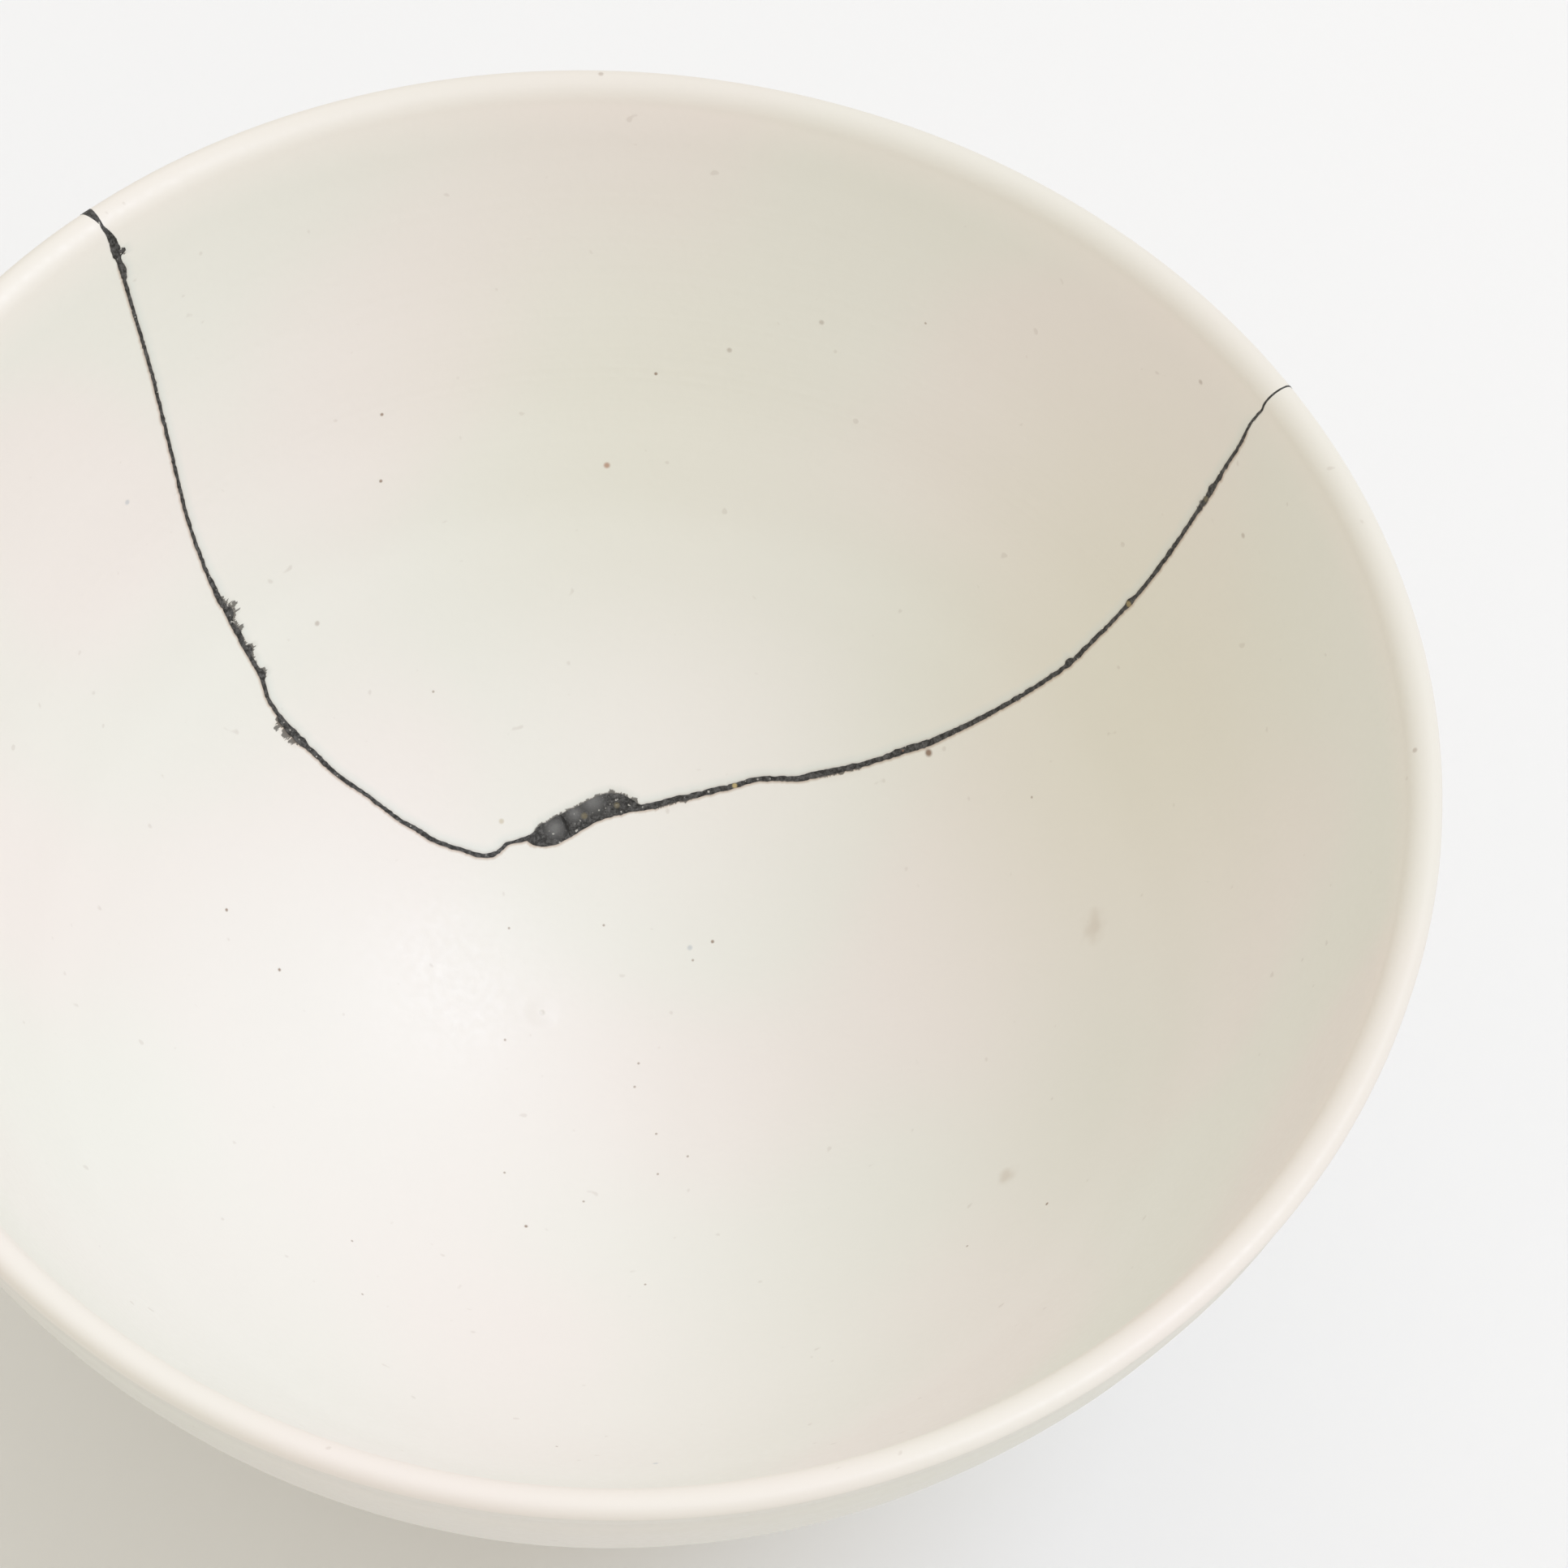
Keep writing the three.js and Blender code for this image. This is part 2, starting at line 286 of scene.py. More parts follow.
# The pot's own mesh is a grid of turns and steps along the profile, closer together on the inside and
# round the lip, and closer again beside the break, then wrapped round the wheel's axis.
TURNS = 252
OUTSIDE_STEPS = 96
LIP_ROWS = 40
INSIDE_STEPS = 140
LIP_RUN = OUTSIDE_RUN - 12 * MM
BESIDE_BREAK = 2.4 * MM
BREAK_CUTS = 3
POLE_MERGE = 0.002 * MM

steps_along = np.concatenate((
    np.linspace(0, LIP_RUN, OUTSIDE_STEPS, endpoint=False),
    np.linspace(LIP_RUN, OUTSIDE_RUN, LIP_ROWS, endpoint=False),
    np.linspace(OUTSIDE_RUN, PROFILE_RUN, INSIDE_STEPS),
))


def thrown_pot(name, skin=0.0):
    bm = bmesh.new()
    rows = len(steps_along) - 1
    bmesh.ops.create_grid(bm, x_segments=TURNS, y_segments=rows, size=1)

    def wrapped():
        flat = np.array([vert.co for vert in bm.verts])
        angle = (flat[:, 0] + 1) * math.pi
        run = np.interp((flat[:, 1] + 1) / 2 * rows, np.arange(rows + 1), steps_along)
        return pot_surface(angle, run, skin)

    beside = [course_tree.find(point)[2] < BESIDE_BREAK for point in wrapped()]
    bm.verts.index_update()
    edges = [edge for edge in bm.edges if all(beside[vert.index] for vert in edge.verts)]
    bmesh.ops.subdivide_edges(bm, edges=edges, cuts=BREAK_CUTS, use_grid_fill=True)
    for vert, point in zip(bm.verts, wrapped()):
        vert.co = point
    bmesh.ops.remove_doubles(bm, verts=bm.verts, dist=POLE_MERGE)
    bmesh.ops.recalc_face_normals(bm, faces=bm.faces)
    mesh = bpy.data.meshes.new(name)
    bm.to_mesh(mesh)
    bm.free()
    return bpy.data.objects.new(name, mesh)


# The break through the wall is a ribbon with eight corners at each station: two over the inside and two
# just under it, as far apart as the mend is wide there, two deep in the wall and two past the outside.
# Here and there the glaze crumbled beside it, and the mend reaches further over one side. A chip at the
# lip's outer edge is filled too.
BEYOND_WALL = 2 * MM
GLAZE_DEPTH = 0.6 * MM
MIDDLE_DEPTH = 2.6 * MM
OUTER_MEND_WIDTH = 0.42 * MM
RAGGED = 0.1 * MM
RAGGED_GRAIN = 0.8 * MM
MERGE = 0.001 * MM

# A side of the break is known by the column that holds its reach in the tables of places, which is also
# the seed of its ragged edge.
BODY_SIDE = 3
SHARD_SIDE = 4
OUTER_SHARD_SEED = 5
OUTER_BODY_SEED = 6
CRUMBS = (
    # angle, run, reach along the break, body side, shard side
    (130.9, 103.5, 0.35, 0, 0.35),
    (131.0, 101.4, 0.9, 0, 0.16),
    (134.3, 65.8, 1.5, 0, 0.16),
    (134.5, 63.4, 0.9, 0, 0.42),
    (134.6, 60.9, 0.9, 0, 0.22),
    (134.6, 59.0, 0.5, 0, 0.42),
    (134.7, 56.2, 0.6, 0, 0.32),
    (134.8, 50.6, 1.2, 0.2, 0),
    (134.4, 48.8, 1.2, 0.14, 0.08),
    (90, 32.8, 1.8, 0, 0.2),
    (38.6, 66.4, 0.6, 0, 0.2),
    (37.0, 76.1, 0.5, 0.1, 0.12),
    (35.7, 93.1, 0.5, 0.05, 0.22),
)
LIP_CHIP = (
    (131.4, 107.3, 2.2, 0.95, 0.2),
)


def spread(places, side):
    """How far the places in a table reach over one side of the break, at each station along it."""
    width = np.zeros(len(course_line))
    for place in places:
        centre = turned(np.radians(place[:1]), wall_at([place[1] * MM])[0])
        distance = np.linalg.norm(course_line - centre, axis=1) / (place[2] * MM)
        width += place[side] * MM * np.sqrt(np.clip(1 - distance ** 2, 0, 1))
    return width


def ragged(seed):
    """How far a ragged edge strays, at each station along the break."""
    rough = [noise.noise(Vector((station / RAGGED_GRAIN, seed, 0))) for station in stations]
    fine = [noise.noise(Vector((station / RAGGED_GRAIN * 3, seed, 9))) for station in stations]
    return RAGGED * (np.array(rough) + 0.7 * np.array(fine))


mend_edge = {}
for side in (BODY_SIDE, SHARD_SIDE):
    mend_edge[side] = course[:, 2] / 2 + spread(CRUMBS, side) + ragged(side)


def break_ribbon(name):
    inner = course_line - clay * BEYOND_WALL
    shallow = course_line + clay * GLAZE_DEPTH
    middle = course_line + clay * MIDDLE_DEPTH
    outer = course_line + clay * (course_wall + BEYOND_WALL)[:, None]
    plain = np.minimum(course[:, 2], OUTER_MEND_WIDTH) / 2
    offsets = (
        (inner, -mend_edge[BODY_SIDE]),
        (inner, mend_edge[SHARD_SIDE]),
        (shallow, mend_edge[SHARD_SIDE]),
        (middle, plain),
        (outer, plain + spread(LIP_CHIP, SHARD_SIDE) + ragged(OUTER_SHARD_SEED)),
        (outer, -(plain + spread(LIP_CHIP, BODY_SIDE) + ragged(OUTER_BODY_SEED))),
        (middle, -plain),
        (shallow, -mend_edge[BODY_SIDE]),
    )
    corners = [line + to_shard * offset[:, None] for line, offset in offsets]
    corners.append(corners[0])
    bm = bmesh.new()
    last = len(course_line) - 1
    sides = len(offsets)
    bmesh.ops.create_grid(bm, x_segments=last, y_segments=sides, size=1)
    for vert in bm.verts:
        station = round((vert.co.x + 1) / 2 * last)
        corner = round((vert.co.y + 1) / 2 * sides)
        vert.co = corners[corner][station]
    bmesh.ops.remove_doubles(bm, verts=bm.verts, dist=MERGE)
    bmesh.ops.holes_fill(bm, edges=[edge for edge in bm.edges if edge.is_boundary], sides=sides)
    bmesh.ops.triangulate(bm, faces=bm.faces)
    bmesh.ops.recalc_face_normals(bm, faces=bm.faces)
    mesh = bpy.data.meshes.new(name)
    bm.to_mesh(mesh)
    bm.free()
    return bpy.data.objects.new(name, mesh)


def carved(piece, ribbon, operation):
    """The piece's mesh after a boolean with the ribbon."""
    for thing in (piece, ribbon):
        scene.collection.objects.link(thing)
    boolean = piece.modifiers.new("break", "BOOLEAN")
    boolean.object = ribbon
    boolean.operation = operation
    boolean.solver = "MANIFOLD"
    graph = bpy.context.evaluated_depsgraph_get()
    mesh = bpy.data.meshes.new_from_object(piece.evaluated_get(graph))
    for thing in (piece, ribbon):
        bpy.data.objects.remove(thing)
    return mesh


def loose_parts(mesh):
    """Each connected part of a mesh as a mesh of its own, the largest first."""
    bm = bmesh.new()
    bm.from_mesh(mesh)
    bmesh.ops.remove_doubles(bm, verts=bm.verts, dist=MERGE)
    part = {}
    for start in bm.verts:
        if start in part:
            continue
        part[start] = start
        reached = [start]
        while reached:
            for edge in reached.pop().link_edges:
                for vert in edge.verts:
                    if vert not in part:
                        part[vert] = start
                        reached.append(vert)
    bm.verts.index_update()
    groups = {}
    for vert, start in part.items():
        groups.setdefault(start.index, set()).add(vert.index)
    meshes = []
    for members in sorted(groups.values(), key=len, reverse=True):
        piece = bm.copy()
        others = [vert for vert in piece.verts if vert.index not in members]
        bmesh.ops.delete(piece, geom=others, context="VERTS")
        kept = bpy.data.meshes.new("part")
        piece.to_mesh(kept)
        piece.free()
        meshes.append(kept)
    bm.free()
    return meshes


# Beside the break each point of the glaze knows its place along the break, how far it lies from the mend's
# edge and how far a smudge of lacquer reaches there, in millimetres, and whether it is on the shard.
SMUDGE_ZONE = 5 * MM
SMUDGES = (
    # angle, run, reach along the break, body side, shard side
    (134.2, 63.0, 2.2, 0, 1.0),
    (134.4, 58.9, 1.4, 0, 0.9),
    (134.7, 56.3, 0.7, 0, 0.5),
    (135.3, 50.0, 1.9, 1.1, 0),
    (135.2, 48.6, 1.0, 0.7, 0),
    (80, 33.8, 1.8, 0.3, 0),
    (56.5, 42.4, 2.4, 0.3, 0),
    (35.9, 91.0, 1.2, 0.2, 0.3),
    (88.5, 33, 1.6, 0, 0.45),
    (97, 31.4, 4.5, 0, 0.35),
    (130.9, 104, 1.6, 0, 0.3),
)


def mark_beside_break(mesh, side):
    beside = np.zeros((len(mesh.vertices), 3))
    beside[:, 1] = SMUDGE_ZONE / MM
    reach = spread(SMUDGES, side) / MM
    for vert in mesh.vertices:
        station, distance = course_tree.find(vert.co)[1:]
        if distance < SMUDGE_ZONE:
            from_mend = max(distance - mend_edge[side][station], 0)
            beside[vert.index] = (stations[station] / MM, from_mend / MM, reach[station])
    layer = mesh.attributes.new("beside_break", "FLOAT_VECTOR", "POINT")
    layer.data.foreach_set("vector", beside.ravel())
    on_shard = mesh.attributes.new("on_shard", "FLOAT", "POINT")
    on_shard.data.foreach_set("value", [float(side == SHARD_SIDE)] * len(mesh.vertices))


CREASE = math.radians(38)


def finished_piece(name, mesh, node, material):
    mesh.name = name
    mesh.shade_smooth()
    mesh.set_sharp_from_angle(angle=CREASE)
    mesh.materials.clear()
    mesh.materials.append(material)
    piece = bpy.data.objects.new(name, mesh)
    scene.collection.objects.link(piece)
    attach(piece, "root")
    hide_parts(node)


class Shade:
    """One output of a shader node. Sums on it add Math nodes, and node() adds any other node."""

    def __init__(self, tree, output):
        self.tree = tree
        self.output = output

    def node(self, kind, settings, sockets, output=0):
        made = self.tree.nodes.new("ShaderNode" + kind)
        for name, value in settings.items():
            setattr(made, name, value)
        for name, value in sockets.items():
            if isinstance(value, Shade):
                self.tree.links.new(value.output, made.inputs[name])
            else:
                made.inputs[name].default_value = value
        return Shade(self.tree, made.outputs[output])

    def math(self, operation, *values):
        return self.node("Math", {"operation": operation}, dict(enumerate(values)))

    def __add__(self, other):
        return self.math("ADD", self, other)

    __radd__ = __add__

    def __sub__(self, other):
        return self.math("SUBTRACT", self, other)

    def __rsub__(self, other):
        return self.math("SUBTRACT", other, self)

    def __mul__(self, other):
        return self.math("MULTIPLY", self, other)

    __rmul__ = __mul__

    def __truediv__(self, other):
        return self.math("DIVIDE", self, other)

    def ease(self, low, high, top=1):
        """0 at low, top at high, and smooth between them."""
        values = {0: self, 1: low, 2: high, 4: top}
        return self.node("MapRange", {"interpolation_type": "SMOOTHSTEP"}, values)

    def blend(self, under, over):
        """The colour under turned into the colour over, by this value."""
        under, over = (tone if isinstance(tone, Shade) else (*tone, 1) for tone in (under, over))
        return self.node("Mix", {"data_type": "RGBA"}, {0: self, 6: under, 7: over}, 2)

    def distance(self, point):
        """How far these coordinates are from a point."""
        if not isinstance(point, Shade):
            point = tuple(point)
        return self.node("VectorMath", {"operation": "DISTANCE"}, {0: self, 1: point}, "Value")

    def attribute(self, name, output="Vector"):
        return self.node("Attribute", {"attribute_name": name}, {}, output)

    def grain(self, size, detail=0, roughness=0.5):
        """Soft noise, from about 0 to 1, with lumps of a size in metres."""
        values = {"Vector": self, "Scale": 1 / size, "Detail": detail, "Roughness": roughness}
        return self.node("TexNoise", {}, values, "Fac")


def new_material(name):
    """An empty material and its Object coordinates."""
    material = bpy.data.materials.new(name)
    material.use_nodes = True
    tree = material.node_tree
    tree.nodes.clear()
    coordinates = tree.nodes.new("ShaderNodeTexCoord")
    return material, Shade(tree, coordinates.outputs["Object"])


def finish_material(place, height=None, **sockets):
    """Closes a material with its one shader. A raised height in metres bends its normal."""
    values = {name.replace("_", " "): value for name, value in sockets.items()}
    if height is not None:
        values["Normal"] = place.node("Bump", {}, {"Height": height, "Strength": 1, "Distance": 1})
    shader = place.node("BsdfPrincipled", {}, values)
    output = place.tree.nodes.new("ShaderNodeOutputMaterial")
    place.tree.links.new(shader.output, output.inputs["Surface"])


# The glaze is a satin white that pools to a cool grey-green and turns a little rosy or buff where it is
# thin. Fine throwing rings show through it on the upper wall, and iron in the clay has come up through it
# as brown specks.
COOL_WHITE = (0.82, 0.815, 0.755)
ROSE_WHITE = (0.85, 0.80, 0.76)
STRAW_WHITE = (0.77, 0.75, 0.63)
SAGE_WHITE_AND_SHADE = (0.765, 0.775, 0.69)
PEARL_WHITE = (0.84, 0.845, 0.80)
SHELL_WHITE = (0.885, 0.835, 0.80)
POOL_SIZE = 30 * MM


def inside_place(angle, run):
    """The place on the inside at an angle in degrees and a run in millimetres."""
    return pot_surface(np.radians([angle]), np.array([PROFILE_RUN - run * MM]))[0]


glaze_material, place = new_material("satin_white_glaze")
pools = place.grain(POOL_SIZE)
colour = pools.ease(0.36, 0.66).blend(ROSE_WHITE, COOL_WHITE)

# It is thin and rosy below the lip. The lip's far right is tan and darkened by painted shade, and the
# outside surfaces that face down carry painted shade, tinted tan.
LIP_ROSE = (0.85, 0.775, 0.715)
LIP_TAN_AND_SHADE = (0.71, 0.69, 0.61)
DOWNWARD_SHADE_TAN = (0.72, 0.70, 0.64)
LIP_ROSE_FROM = 74.5 * MM
LIP_TAN_AND_SHADE_FROM = 78 * MM
LIP_TAN_AND_SHADE_FULL = 79.8 * MM
FAR_RIGHT = (0.8, 0.6, 0)
height_up = place.node("SeparateXYZ", {}, {0: place}, "Z")
colour = height_up.ease(LIP_ROSE_FROM, HEIGHT, 0.45).blend(colour, LIP_ROSE)
# The lip's far right is partly tan glaze and partly painted shade, which darkens the lip there.
to_far_right = place.node("VectorMath", {"operation": "DOT_PRODUCT"}, {0: place, 1: FAR_RIGHT}, "Value")
lip_tan_and_shade = height_up.ease(LIP_TAN_AND_SHADE_FROM, LIP_TAN_AND_SHADE_FULL, 0.5) * to_far_right.ease(-10 * MM, 60 * MM)
colour = lip_tan_and_shade.blend(colour, LIP_TAN_AND_SHADE)
# Outside, the surfaces that face down are darkened in a tan tint: painted shade.
facing = place.node("TexCoord", {}, {}, "Normal")
facing_up = facing.node("SeparateXYZ", {}, {0: facing}, "Z")
colour = facing_up.ease(0.05, -0.2, 0.6).blend(colour, DOWNWARD_SHADE_TAN)

PATCHES = (
    # angle, run, radius, strength, colour
    (32, 70, 42, 0.75, STRAW_WHITE),
    (90, 70, 34, 0.4, STRAW_WHITE),
    # The sage patch is partly grey-green glaze and partly painted shade: a darker crescent where the floor
    # turns up into the wall.
    (352, 54, 26, 0.6, SAGE_WHITE_AND_SHADE),
    (175, 30, 38, 0.5, PEARL_WHITE),
    (225, 62, 46, 0.5, PEARL_WHITE),
    (270, 45, 44, 0.5, SHELL_WHITE),
    (80, 38, 26, 0.5, SHELL_WHITE),
)
for angle, run, radius, strength, tone in PATCHES:
    away = place.distance(inside_place(angle, run))
    colour = away.ease(radius * MM, 0, strength).blend(colour, tone)

IRON = (0.20, 0.10, 0.045)
RUST = (0.42, 0.20, 0.11)
COBALT = (0.32, 0.38, 0.45)
OCHRE = (0.50, 0.41, 0.25)
SPECKS = (
    # radius, strength, colour, and the angle and run of each speck
    (0.15, 0.55, IRON, (
        (64.9, 88.4), (116.6, 22.6), (136.9, 13.5), (68.5, 8.3), (62.7, 6), (4.2, 5), (344.5, 8.4),
        (322.3, 6.7), (208, 10.5), (216.1, 30), (92.2, 21.2), (330.6, 43.8), (284.6, 18.5), (257.7, 7.6),
        (266.5, 50.1), (32.4, 53.9), (115.3, 46.4), (227.5, 34.3), (65.8, 19.6),
    )),
    (0.2, 0.75, IRON, (
        (113, 74.6), (114.6, 68.1), (87.6, 75.8), (158.7, 42.9), (161.4, 35.3), (63.1, 22), (237.5, 13),
        (337, 51.7),
    )),
    (0.3, 0.35, IRON, (
        (73.6, 84.5), (81.2, 79.3), (40.7, 101.8), (31, 92.6), (92.6, 108.6), (125.9, 57.4), (3.3, 107),
    )),
    (0.36, 0.75, RUST, ((92, 66.1),)),
    (0.44, 0.85, IRON, ((46.9, 49),)),
    (0.3, 0.5, OCHRE, ((110.9, 32.5),)),
    (0.3, 0.4, COBALT, ((138.3, 79.5), (277.7, 56), (68, 20.6))),
)
specks = [
    (inside_place(*spot), (radius * MM, strength, 0), tone)
    for radius, strength, tone, places in SPECKS
    for spot in places
]
speck_tree = kdtree.KDTree(len(specks))
for index, speck in enumerate(specks):
    speck_tree.insert(speck[0], index)
speck_tree.balance()


def mark_specks(mesh):
    """Each face knows the speck nearest to it: its middle, its radius and strength, and its colour."""
    nearest = [speck_tree.find(face.center)[1] for face in mesh.polygons]
    for name, rows in zip(("speck_middle", "speck_size", "speck_colour"), zip(*specks)):
        layer = mesh.attributes.new(name, "FLOAT_VECTOR", "FACE")
        layer.data.foreach_set("vector", np.array(rows)[nearest].ravel())


speck_size = place.attribute("speck_size")
speck_radius, speck_strength = (speck_size.node("SeparateXYZ", {}, {0: speck_size}, axis) for axis in "XY")
from_speck = place.distance(place.attribute("speck_middle")) / speck_radius
speck_colour = place.attribute("speck_colour", "Color")
colour = (from_speck.ease(1.2, 0.35) * speck_strength).blend(colour, speck_colour)

SPRINKLE_SIZE = 1.1 * MM
sprinkle = place.grain(SPRINKLE_SIZE)
colour = sprinkle.ease(0.83, 0.9, 0.14).blend(colour, IRON)

STAIN = (0.50, 0.40, 0.30)
STAINS = (
    # angle, run, radius, strength
    (13.8, 54.1, 2.2, 0.3),
    (342.4, 44.2, 1.6, 0.35),
)
for angle, run, radius, strength in STAINS:
    cloud = place.distance(inside_place(angle, run)) + (sprinkle - 0.5) * (1.4 * MM)
    colour = cloud.ease(radius * MM, 0, strength).blend(colour, STAIN)

# Beside the mend the glaze took up a little of the lacquer: a thin brown fringe, stronger on the body, a
# cool halo on the shard, and here and there a feathery smudge.
FRINGE = (0.42, 0.26, 0.15)
HALO = (0.70, 0.74, 0.70)
SMUDGE = (0.085, 0.08, 0.07)
beside = place.attribute("beside_break")
station, away, reach = (beside.node("SeparateXYZ", {}, {0: beside}, axis) for axis in "XYZ")
on_shard = place.attribute("on_shard", "Fac")
colour = (away.ease(1.1, 0, 0.6) * on_shard).blend(colour, HALO)
colour = (away.ease(0.36, 0.03, 0.5) * (1 - on_shard * 0.65)).blend(colour, FRINGE)
spread_out = beside.node("CombineXYZ", {}, {0: station * 2.2, 1: away * 0.5, 2: on_shard})
feather_noise = {"Vector": spread_out, "Scale": 1, "Detail": 2, "Roughness": 0.8}
feather = spread_out.node("TexNoise", {}, feather_noise, "Fac")
colour = (away.ease(1, 0) * reach * (feather * 0.4)).blend(colour, FRINGE)
spurs = (away - reach * ((feather - 0.42) * 3.4)).ease(0.12, 0)
colour = (spurs * reach.ease(0, 0.15, 0.85)).blend(colour, SMUDGE)

# The throwing rings are told by their distance from the middle of the floor. A pinhole in a low blister
# near the middle, and fine pits all over, are in the glaze itself.
THROWING_RINGS_PER_METRE = 1100
THROWING_RING_HEIGHT = 0.02 * MM
RINGS_COME_IN = (56 * MM, 72 * MM)
RINGS_FADE_OUT = (98 * MM, 94 * MM)
PIT_SIZE = 0.7 * MM
PIT_DEPTH = 0.012 * MM
PINHOLE = (117.6, 13.9)
reach_out = place.distance((0, 0, FLOOR_HEIGHT))
ring_noise = {"W": reach_out, "Scale": THROWING_RINGS_PER_METRE, "Detail": 1}
rings = reach_out.node("TexNoise", {"noise_dimensions": "1D"}, ring_noise, "Fac")
ringed = reach_out.ease(*RINGS_COME_IN) * reach_out.ease(*RINGS_FADE_OUT)
pitting = place.grain(PIT_SIZE)
pinhole = place.distance(inside_place(*PINHOLE))
height = (rings - 0.5) * (ringed * THROWING_RING_HEIGHT) + pitting * PIT_DEPTH
height = height + pinhole.ease(1.9 * MM, 0.3 * MM, 0.11 * MM) - pinhole.ease(0.35 * MM, 0, 0.1 * MM)

# The foot ring stands on bare clay, with a thin rusty line where the glaze begins.
CLAY = (0.66, 0.55, 0.43)
RUSTY_BELOW = (1.9 * MM, 1.2 * MM)
BARE_BELOW = (1.3 * MM, 1.0 * MM)
colour = height_up.ease(*RUSTY_BELOW).blend(colour, RUST)
bare = height_up.ease(*BARE_BELOW)
colour = bare.blend(colour, CLAY)
finish_material(
    place,
    height,
    Base_Color=colour,
    Roughness=bare * 0.4 + pitting * 0.24 + 0.34,
    IOR=1.5,
)


# The body is the larger piece of the broken pot, with the foot ring, most of the floor and the near rim.
# The shard is the piece of the far wall that broke out of it. Both are cut from one thrown pot.
broken = loose_parts(carved(thrown_pot("pot"), break_ribbon("break"), "DIFFERENCE"))
for side, mesh in zip((BODY_SIDE, SHARD_SIDE), broken):
    mark_beside_break(mesh, side)
    mark_specks(mesh)
finished_piece("glazed_body", broken[0], "bowl_body", glaze_material)
finished_piece("glazed_shard", broken[1], "rim_shard", glaze_material)


# The mend is black lacquer, thickened with stone powder. It fills the break right through the wall and
# stands a hair above the glaze. It dried dull and rough, with pale grains in it where it fills the lost
# flakes.
LACQUER_SKIN = 0.05 * MM
BLACK = (0.018, 0.0175, 0.016)
ASH = (0.12, 0.118, 0.115)
LUMP_SIZE = 0.4 * MM
lacquer_material, place = new_material("black_lacquer")
lumps = place.grain(LUMP_SIZE, 3, 0.75)
colour = lumps.ease(0.34, 0.72).blend(BLACK, ASH)

PALE = (0.62, 0.60, 0.55)
GOLD = (0.60, 0.47, 0.22)
STONE = (0.26, 0.22, 0.13)
SCUFF = (0.22, 0.22, 0.215)
SCUFFS = (
    # angle, run, radius
    (94.2, 33.1, 1.5),
    (97.5, 32, 1),
    (101.5, 30.8, 1.2),
)
for angle, run, radius in SCUFFS:
    hazy = place.distance(inside_place(angle, run)) + (lumps - 0.5) * (2.4 * MM)
    colour = hazy.ease(radius * MM, 0, 0.7).blend(colour, SCUFF)

SPARKLE_SIZE = 0.32 * MM
sparkle = place.grain(SPARKLE_SIZE)
colour = sparkle.ease(0.78, 0.84, 0.7).blend(colour, PALE)

GRAINS = (
    # angle, run, radius, strength, colour
    (95.8, 31.7, 0.42, 0.55, STONE), (89.9, 32.7, 0.38, 0.5, STONE), (90.1, 33.2, 0.13, 0.8, PALE),
    (87.8, 32.8, 0.13, 0.7, PALE), (93.1, 32.2, 0.12, 0.8, PALE), (91.9, 32.4, 0.1, 0.7, PALE),
    (91.1, 32.8, 0.1, 0.6, PALE), (97.6, 31.0, 0.1, 0.5, PALE), (102.6, 30.6, 0.1, 0.4, PALE),
    (74.5, 35.35, 0.16, 0.8, PALE), (70.6, 36.65, 0.34, 0.8, GOLD), (67.4, 38, 0.14, 0.6, PALE),
    (65.6, 38.5, 0.12, 0.5, PALE), (50, 47.55, 0.16, 0.5, RUST), (37, 75.9, 0.42, 0.5, GOLD),
    (35.75, 91.6, 0.45, 0.55, STONE), (135, 50.9, 0.12, 0.5, PALE), (134.8, 49.9, 0.14, 0.6, PALE),
    (134.4, 48.6, 0.12, 0.6, PALE), (133.8, 47.1, 0.1, 0.5, PALE), (115.6, 29.9, 0.12, 0.4, PALE),
    (112.9, 29.9, 0.1, 0.4, PALE),
)
for angle, run, radius, strength, tone in GRAINS:
    away = place.distance(inside_place(angle, run))
    colour = away.ease(radius * MM, radius * MM * 0.4, strength).blend(colour, tone)

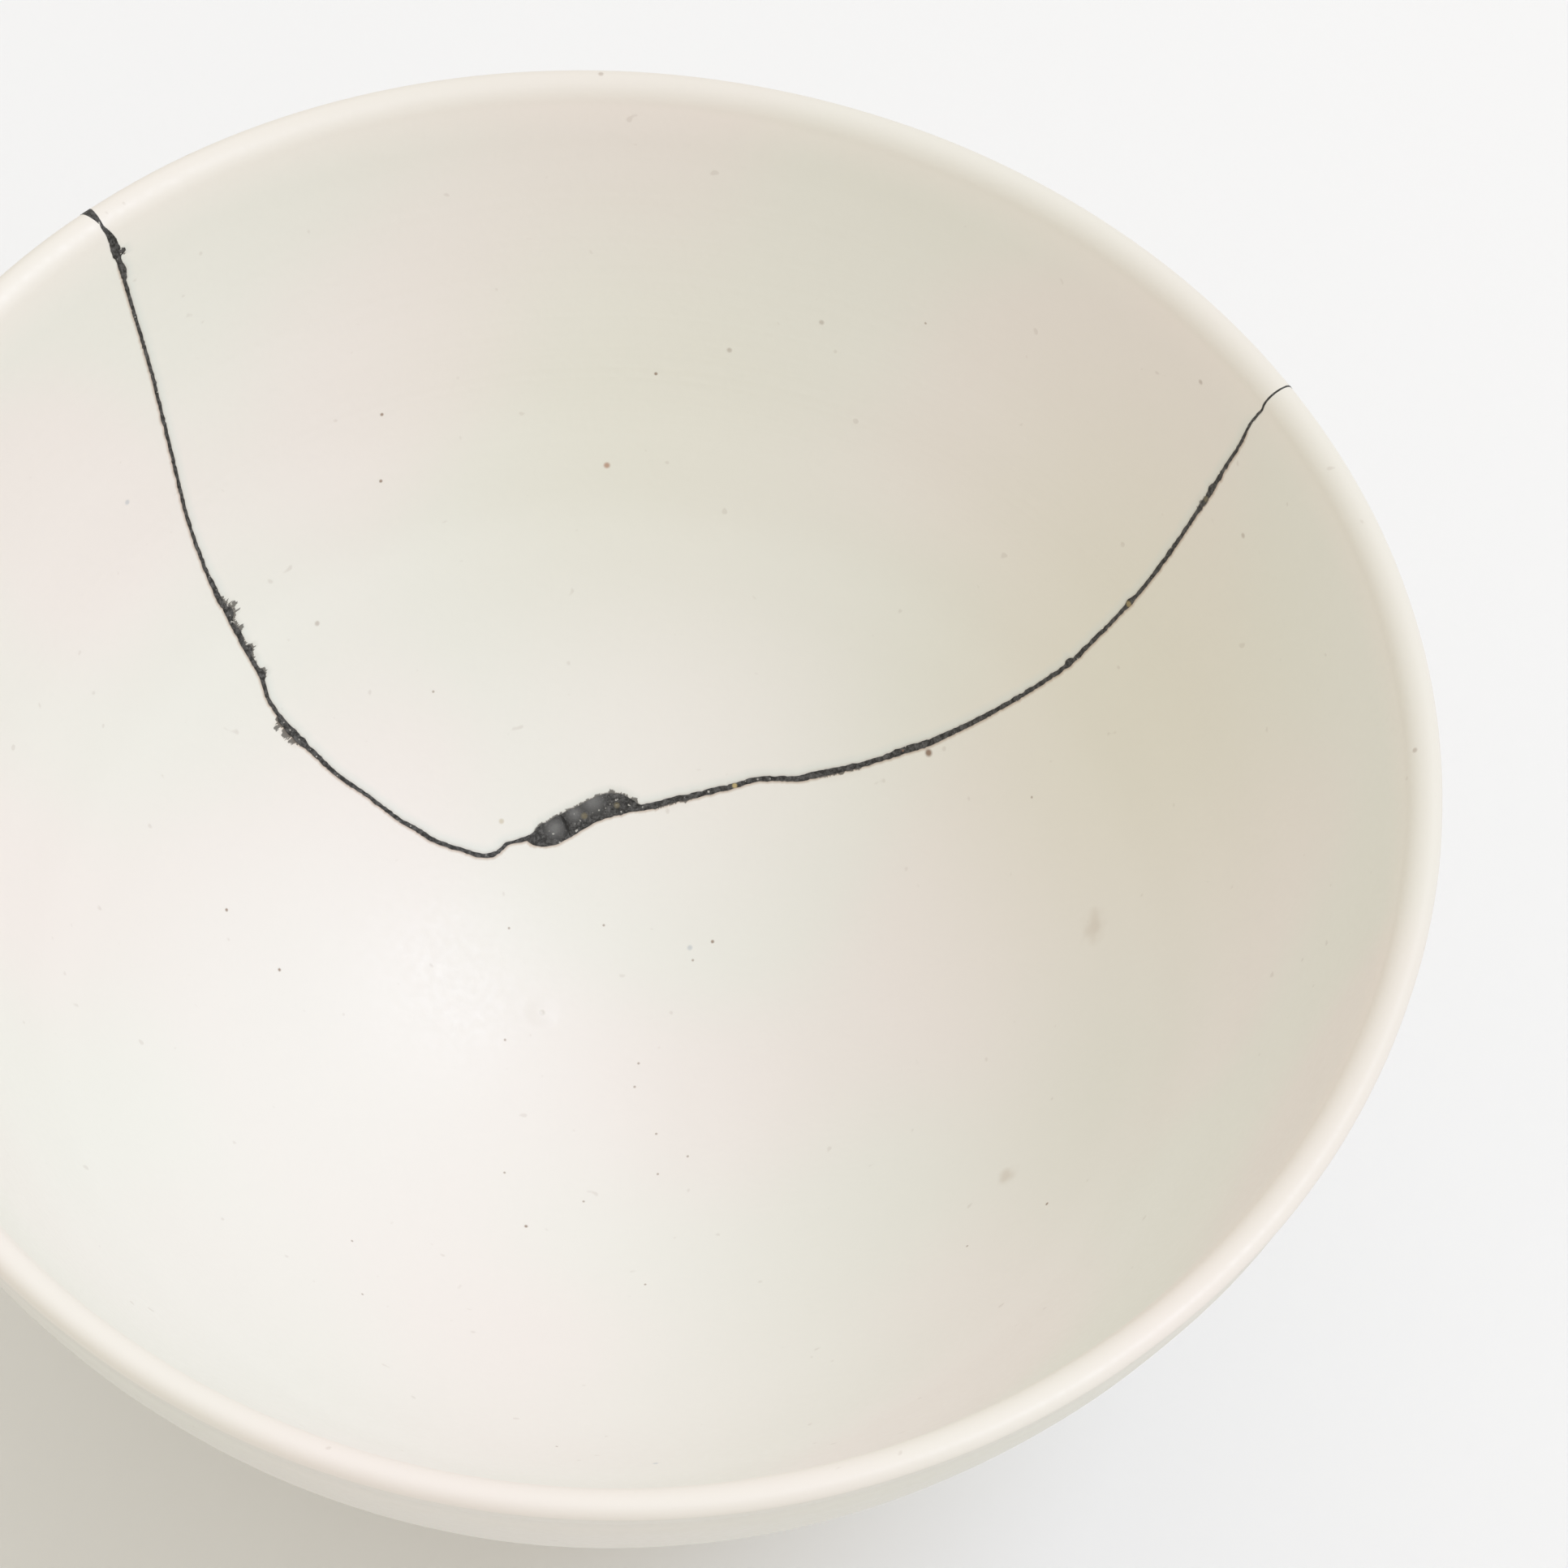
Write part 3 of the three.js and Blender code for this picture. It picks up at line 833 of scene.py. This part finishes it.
# A hair crack runs across the widest part of the mend.
crack_ends = inside_place(100, 32), inside_place(98.7, 29.9)
crack_length = float(np.linalg.norm(crack_ends[0] - crack_ends[1]))
crack = place.distance(crack_ends[0]) + place.distance(crack_ends[1]) - crack_length
crack = (crack + (lumps - 0.5) * (0.06 * MM)).ease(0.03 * MM, 0)
finish_material(
    place,
    (lumps - 0.5) * (0.09 * MM) - crack * (0.1 * MM),
    Base_Color=crack.blend(colour, BLACK),
    Roughness=lumps * 0.25 + 0.45,
    Specular_IOR_Level=0.3,
    IOR=1.5,
)
mend = loose_parts(carved(thrown_pot("skin", LACQUER_SKIN), break_ribbon("mend"), "INTERSECT"))
finished_piece("lacquer_mend", mend[0], "lacquer_seam", lacquer_material)


# The bowl stands on a wide white table in a bright, slightly warm room. One big cool softbox hangs on its
# right and a weak one behind it.
TABLE_WIDTH = 6
TABLE_WHITE = (0.86, 0.86, 0.86)
ROOM_LIGHT = (0.80, 0.765, 0.685)
SOFTBOX_DISTANCE = 3
SOFTBOXES = (
    # name, azimuth, elevation, width, power, colour
    ("right_softbox", 0, 58, 1.7, 31, (0.9, 1.0, 1.25)),
    ("back_softbox", 82, 52, 2.4, 5.4, (0.95, 1.0, 1.1)),
)

bm = bmesh.new()
bmesh.ops.create_grid(bm, x_segments=1, y_segments=1, size=TABLE_WIDTH / 2)
table_mesh = bpy.data.meshes.new("table")
bm.to_mesh(table_mesh)
bm.free()
table = bpy.data.objects.new("table", table_mesh)
scene.collection.objects.link(table)
table_material, place = new_material("white_table")
finish_material(place, Base_Color=(*TABLE_WHITE, 1), Roughness=0.9)
table_mesh.materials.append(table_material)

room = bpy.data.worlds.new("room")
room.use_nodes = True
room.node_tree.nodes["Background"].inputs["Color"].default_value = (*ROOM_LIGHT, 1)
scene.world = room

for name, azimuth, elevation, width, power, tone in SOFTBOXES:
    panel = bpy.data.lights.new(name, "AREA")
    panel.shape = "DISK"
    panel.size = width
    panel.energy = power
    panel.color = tone
    swing = Matrix.Rotation(math.radians(azimuth), 4, "Z")
    tilt = Matrix.Rotation(math.radians(90 - elevation), 4, "Y")
    aim = swing @ tilt @ Matrix.Translation((0, 0, SOFTBOX_DISTANCE))
    softbox = bpy.data.objects.new(name, panel)
    softbox.matrix_world = Matrix.Translation(rim_middle) @ aim
    scene.collection.objects.link(softbox)
scene.view_settings.view_transform = "Standard"
